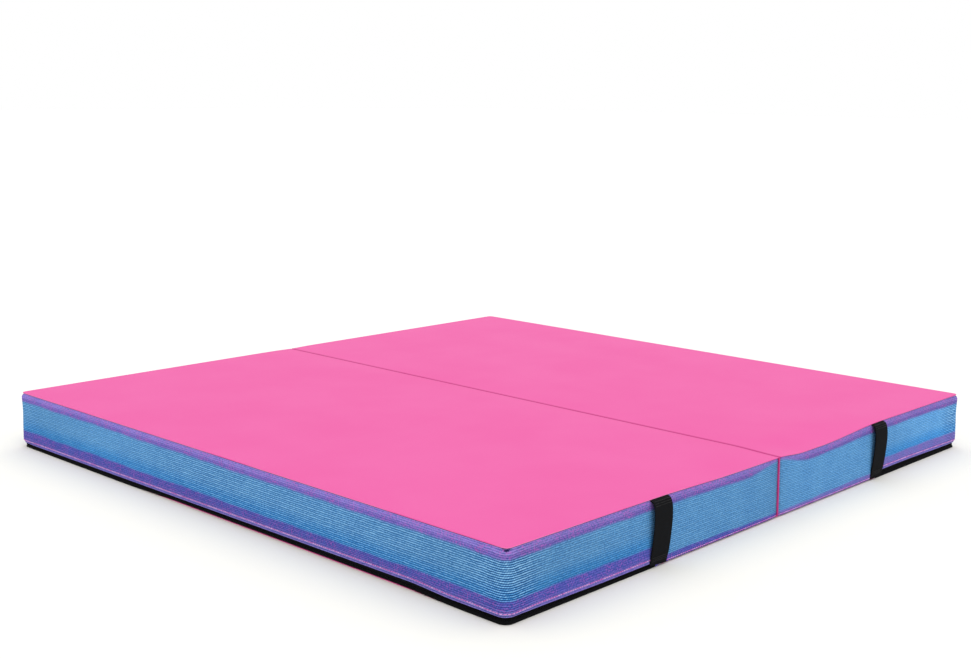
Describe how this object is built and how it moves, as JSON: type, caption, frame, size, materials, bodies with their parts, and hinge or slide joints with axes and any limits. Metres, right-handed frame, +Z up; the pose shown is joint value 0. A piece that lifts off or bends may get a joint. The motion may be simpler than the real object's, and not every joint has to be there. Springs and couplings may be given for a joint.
{
  "type": "folding gym mat",
  "caption": "Thick square tumbling mat in two padded halves that fold face to face about a sewn seam, with mesh sides, zipped covers and webbing handles.",
  "frame": {"origin": "centre of the underside of the mat laid open, on the fold line", "axes": "+Z up out of the landing face, +Y along the fold towards the end that the zipper sliders park at, +X across the fold from half a to half b"},
  "size_m": [1.2192, 1.2396, 0.1009],
  "materials": {
    "pink_vinyl": "satin",
    "hem_vinyl": "satin",
    "blue_mesh": "matte",
    "zip_tape": "matte",
    "zip_metal": "satin",
    "webbing": "matte",
    "soft_foam": "matte",
    "firm_foam": "matte",
    "seam_thread": "matte"
  },
  "bodies": {
    "half_a": {"soft_foam_a": "soft_foam", "firm_foam_a": "firm_foam", "top_cover_a": "pink_vinyl", "top_hem_a": "hem_vinyl", "bottom_cover_a": "pink_vinyl", "fold_wall_a": "pink_vinyl", "mesh_gusset_a": "blue_mesh", "zip_facing_a": "hem_vinyl", "zip_tape_upper_a": "zip_tape", "zip_tape_lower_a": "zip_tape", "zip_stop_front_a": "zip_metal", "zip_stop_rear_a": "zip_metal", "handle_front_a": "webbing", "handle_rear_a": "webbing", "fold_seam": "seam_thread"},
    "half_b": {"soft_foam_b": "soft_foam", "firm_foam_b": "firm_foam", "top_cover_b": "pink_vinyl", "top_hem_b": "hem_vinyl", "bottom_cover_b": "pink_vinyl", "fold_wall_b": "pink_vinyl", "mesh_gusset_b": "blue_mesh", "zip_facing_b": "hem_vinyl", "zip_tape_upper_b": "zip_tape", "zip_tape_lower_b": "zip_tape", "zip_stop_front_b": "zip_metal", "zip_stop_rear_b": "zip_metal", "handle_front_b": "webbing", "handle_rear_b": "webbing"},
    "slider_a": {"zip_slider_a": "zip_metal"},
    "slider_b": {"zip_slider_b": "zip_metal"},
    "pull_a": {"zip_pull_a": "zip_metal"},
    "pull_b": {"zip_pull_b": "zip_metal"}
  },
  "joints": [
    {"name": "fold", "type": "hinge", "parent": "half_a", "child": "half_b", "pos_m": [0, 0, 0.1004], "axis": [0, -1, 0], "range_deg": [0, 180]},
    {"name": "zip_slide_a", "type": "slide", "parent": "half_a", "child": "slider_a", "axis": [-1, 0, 0], "range_m": [0, 0.2]},
    {"name": "zip_slide_b", "type": "slide", "parent": "half_b", "child": "slider_b", "axis": [1, 0, 0], "range_m": [0, 0.2]},
    {"name": "pull_swing_a", "type": "hinge", "parent": "slider_a", "child": "pull_a", "pos_m": [-0.3428, 0.6112, 0.0055], "axis": [0, 0, -1], "range_deg": [0, 150]},
    {"name": "pull_swing_b", "type": "hinge", "parent": "slider_b", "child": "pull_b", "pos_m": [0.3428, 0.6112, 0.0055], "axis": [0, 0, 1], "range_deg": [0, 150]}
  ]
}
